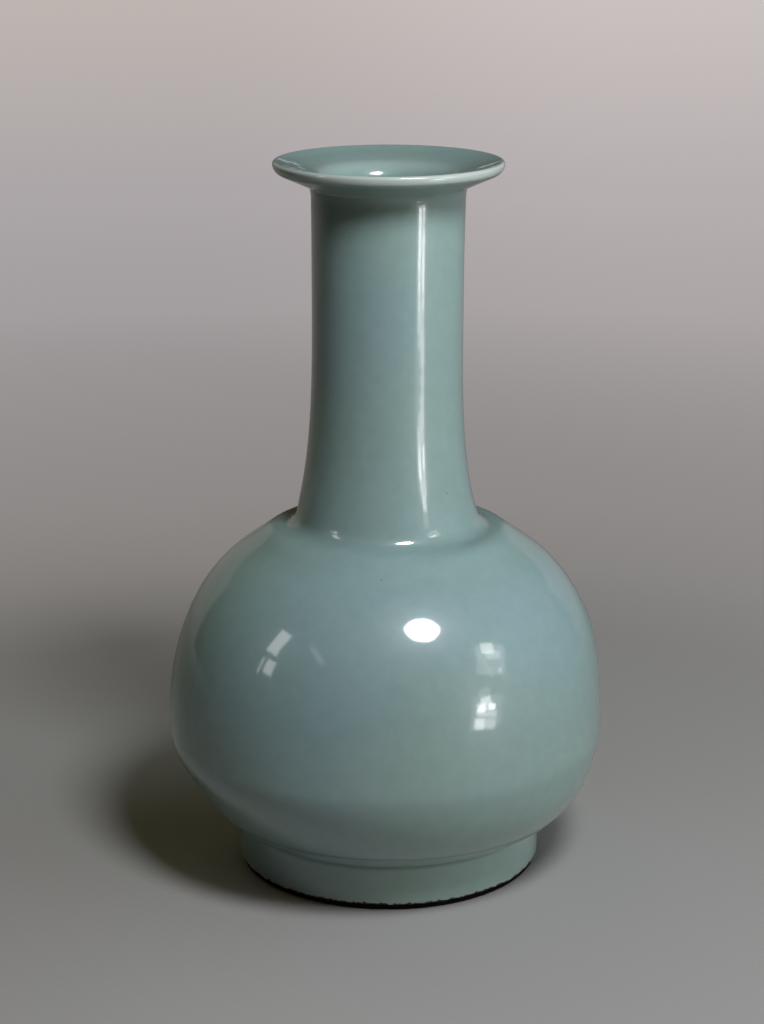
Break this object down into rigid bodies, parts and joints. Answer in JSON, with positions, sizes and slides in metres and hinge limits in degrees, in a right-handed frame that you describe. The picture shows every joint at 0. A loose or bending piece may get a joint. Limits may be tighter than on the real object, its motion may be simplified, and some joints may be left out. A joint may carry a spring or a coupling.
{
  "type": "vase",
  "caption": "Turnip-shaped celadon vase: a globe body on a low foot ring, a tall slender neck and an everted, dished mouth. It stands on its foot and holds stems and water.",
  "frame": {"origin": "centre of the standing face, on the axis of the vase", "axes": "+Z is the axis of the vase, up from the foot to the mouth; X and Y lie in the standing face and are alike"},
  "size_m": [0.1536, 0.1536, 0.25],
  "materials": {
    "celadon_glaze": "glossy pale blue-green celadon glaze",
    "bare_foot_clay": "bare clay, fired dark brown",
    "stoneware_clay": "pale grey stoneware body under the glaze",
    "luting_slip": "fired slip in the joints between the thrown sections"
  },
  "bodies": {
    "root": {"foot_ring": "bare_foot_clay", "foot_seam_slip": "luting_slip", "lower_body": "stoneware_clay", "belly_seam_slip": "luting_slip", "upper_body": "stoneware_clay", "shoulder_seam_slip": "luting_slip", "neck": "stoneware_clay", "mouth_seam_slip": "luting_slip", "mouth_rim": "stoneware_clay", "outer_glaze": "celadon_glaze", "inner_glaze": "celadon_glaze", "base_glaze": "celadon_glaze"}
  },
  "joints": []
}
